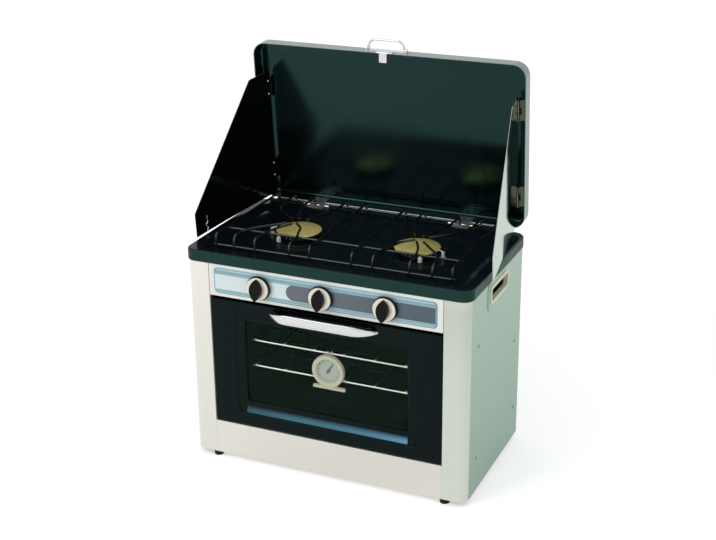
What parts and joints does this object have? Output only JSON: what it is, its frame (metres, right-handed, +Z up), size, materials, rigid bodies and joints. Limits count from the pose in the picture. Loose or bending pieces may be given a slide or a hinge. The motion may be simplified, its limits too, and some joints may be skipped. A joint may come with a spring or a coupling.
{
  "type": "folding camp oven with two-burner hob",
  "caption": "Portable gas camp oven with a drop-down glass door, wire racks, a two-burner hob under a tall folding lid, hinged wind panels and a carrying bail.",
  "frame": {"origin": "on the ground, under the middle of the cabinet's footprint", "axes": "+X to the right seen from the front, +Y to the back, +Z up"},
  "size_m": [0.5886, 0.3662, 0.7725],
  "materials": {
    "silver_paint": "satin",
    "green_steel": "semi-gloss, pale green",
    "blue_silver_paint": "semi-gloss",
    "grey_fascia": "satin, diagonally hatched",
    "black_enamel": "gloss enamel",
    "dark_enamel": "matt enamel",
    "cast_burner": "matt",
    "plated_steel": "dull zinc",
    "ceramic": "white glaze",
    "brass": "satin",
    "chrome": "bright",
    "bronze_steel": "bronzed",
    "beige_trim": "satin",
    "black_plastic": "semi-gloss",
    "black_rubber": "matt",
    "tinted_glass": "clear, dark tint",
    "clear_glass": "clear",
    "fibre_seal": "woven",
    "dial_enamel": "gloss cream",
    "red_paint": "gloss"
  },
  "bodies": {
    "cabinet": {"left_side_panel": "green_steel", "right_side_panel": "green_steel", "back_panel": "green_steel", "base_tray": "green_steel", "kick_panel": "silver_paint", "control_panel": "blue_silver_paint", "control_fascia": "grey_fascia", "hob_pan": "black_enamel", "pan_grate": "black_enamel", "burner_heads": "cast_burner", "burner_caps": "brass", "burner_venturis": "plated_steel", "burner_probes": "ceramic", "gas_manifold": "brass", "gas_inlet": "brass", "gas_valves": "brass", "oven_liner": "dark_enamel", "oven_burner": "plated_steel", "heat_plate": "dark_enamel", "feet": "black_rubber", "side_handle_trims": "beige_trim", "panel_screws": "chrome", "lid_hinge_leaves": "chrome", "lid_hinge_pins": "chrome", "door_magnet": "black_plastic"},
    "door": {"door_outer": "black_enamel", "door_inner": "dark_enamel", "door_glass": "tinted_glass", "door_seal": "fibre_seal", "door_handle": "chrome", "door_handle_posts": "black_plastic", "door_hinge_pins": "chrome"},
    "lid": {"lid_shell": "green_steel", "lid_hinge_straps": "chrome", "bail_bracket": "chrome", "wind_hinge_leaves": "bronze_steel", "wind_hinge_pins": "chrome"},
    "left_wind": {"left_wind_panel": "green_steel", "left_wind_knuckles": "bronze_steel"},
    "right_wind": {"right_wind_panel": "green_steel", "right_wind_knuckles": "bronze_steel"},
    "left_clip": {"left_wire_clip": "chrome"},
    "right_clip": {"right_wire_clip": "chrome"},
    "bail": {"bail_handle": "chrome"},
    "hasp": {"latch_hasp": "chrome"},
    "upper_rack": {"upper_rack": "chrome", "thermometer_case": "chrome", "thermometer_dial": "dial_enamel", "thermometer_lens": "clear_glass"},
    "pointer": {"thermometer_pointer": "red_paint"},
    "lower_rack": {"lower_rack": "chrome"},
    "left_spindle": {"left_spindle": "plated_steel"},
    "left_knob": {"left_knob": "black_plastic", "left_knob_disc": "chrome"},
    "middle_spindle": {"middle_spindle": "plated_steel"},
    "middle_knob": {"middle_knob": "black_plastic", "middle_knob_disc": "chrome"},
    "right_spindle": {"right_spindle": "plated_steel"},
    "right_knob": {"right_knob": "black_plastic", "right_knob_disc": "chrome"}
  },
  "joints": [
    {"name": "lid_tilt", "type": "hinge", "parent": "cabinet", "child": "lid", "pos_m": [0, 0.16, 0.429], "axis": [-1, 0, 0], "range_deg": [0, 62]},
    {"name": "left_wind_fold", "type": "hinge", "parent": "lid", "child": "left_wind", "pos_m": [-0.254, 0.18791, 0.4312], "axis": [0, -0.0785, 0.9969], "range_deg": [0, 98.55]},
    {"name": "right_wind_fold", "type": "hinge", "parent": "lid", "child": "right_wind", "pos_m": [0.254, 0.18542, 0.431], "axis": [0, 0.0785, -0.9969], "range_deg": [0, 97.05]},
    {"name": "left_clip_swing", "type": "hinge", "parent": "left_wind", "child": "left_clip", "pos_m": [-0.28894, -0.0469, 0.45284], "axis": [0.9889, -0.1482, -0.0117], "range_deg": [0, 90]},
    {"name": "right_clip_swing", "type": "hinge", "parent": "right_wind", "child": "right_clip", "pos_m": [0.28894, -0.04939, 0.45264], "axis": [0.9889, 0.1482, 0.0117], "range_deg": [0, 90]},
    {"name": "bail_fold", "type": "hinge", "parent": "lid", "child": "bail", "pos_m": [0, 0.15252, 0.75341], "axis": [1, 0, 0], "range_deg": [-88, 60]},
    {"name": "hasp_swing", "type": "hinge", "parent": "lid", "child": "hasp", "pos_m": [0, 0.13517, 0.74964], "axis": [-1, 0, 0], "range_deg": [0, 120]},
    {"name": "door_hinge", "type": "hinge", "parent": "cabinet", "child": "door", "pos_m": [0, -0.138, 0.089], "axis": [1, 0, 0], "range_deg": [0, 90]},
    {"name": "upper_rack_slide", "type": "slide", "parent": "cabinet", "child": "upper_rack", "axis": [0, -1, 0], "range_m": [0, 0.1571]},
    {"name": "lower_rack_slide", "type": "slide", "parent": "cabinet", "child": "lower_rack", "axis": [0, -1, 0], "range_m": [0, 0.1571]},
    {"name": "pointer_turn", "type": "hinge", "parent": "upper_rack", "child": "pointer", "pos_m": [0, -0.1282, 0.2155], "axis": [0, 1, 0], "range_deg": [-67, 113], "stiffness_Nm_per_rad": 0.0005},
    {"name": "left_valve_turn", "type": "hinge", "parent": "cabinet", "child": "left_spindle", "pos_m": [-0.124, -0.15, 0.37], "axis": [0, 1, 0], "range_deg": [-180, 0]},
    {"name": "left_knob_push", "type": "slide", "parent": "left_spindle", "child": "left_knob", "axis": [0, 1, 0], "range_m": [0, 0.003], "stiffness_N_per_m": 800},
    {"name": "middle_valve_turn", "type": "hinge", "parent": "cabinet", "child": "middle_spindle", "pos_m": [0, -0.15, 0.37], "axis": [0, 1, 0], "range_deg": [-180, 0]},
    {"name": "middle_knob_push", "type": "slide", "parent": "middle_spindle", "child": "middle_knob", "axis": [0, 1, 0], "range_m": [0, 0.003], "stiffness_N_per_m": 800},
    {"name": "right_valve_turn", "type": "hinge", "parent": "cabinet", "child": "right_spindle", "pos_m": [0.124, -0.15, 0.37], "axis": [0, 1, 0], "range_deg": [-180, 0]},
    {"name": "right_knob_push", "type": "slide", "parent": "right_spindle", "child": "right_knob", "axis": [0, 1, 0], "range_m": [0, 0.003], "stiffness_N_per_m": 800}
  ],
  "couplings": [
    {"joint": "left_wind_fold", "follows": "lid_tilt", "ratio": 1.5895},
    {"joint": "right_wind_fold", "follows": "lid_tilt", "ratio": 1.5653},
    {"joint": "upper_rack_slide", "follows": "door_hinge", "m_per_rad": 0.1},
    {"joint": "lower_rack_slide", "follows": "door_hinge", "m_per_rad": 0.1}
  ]
}
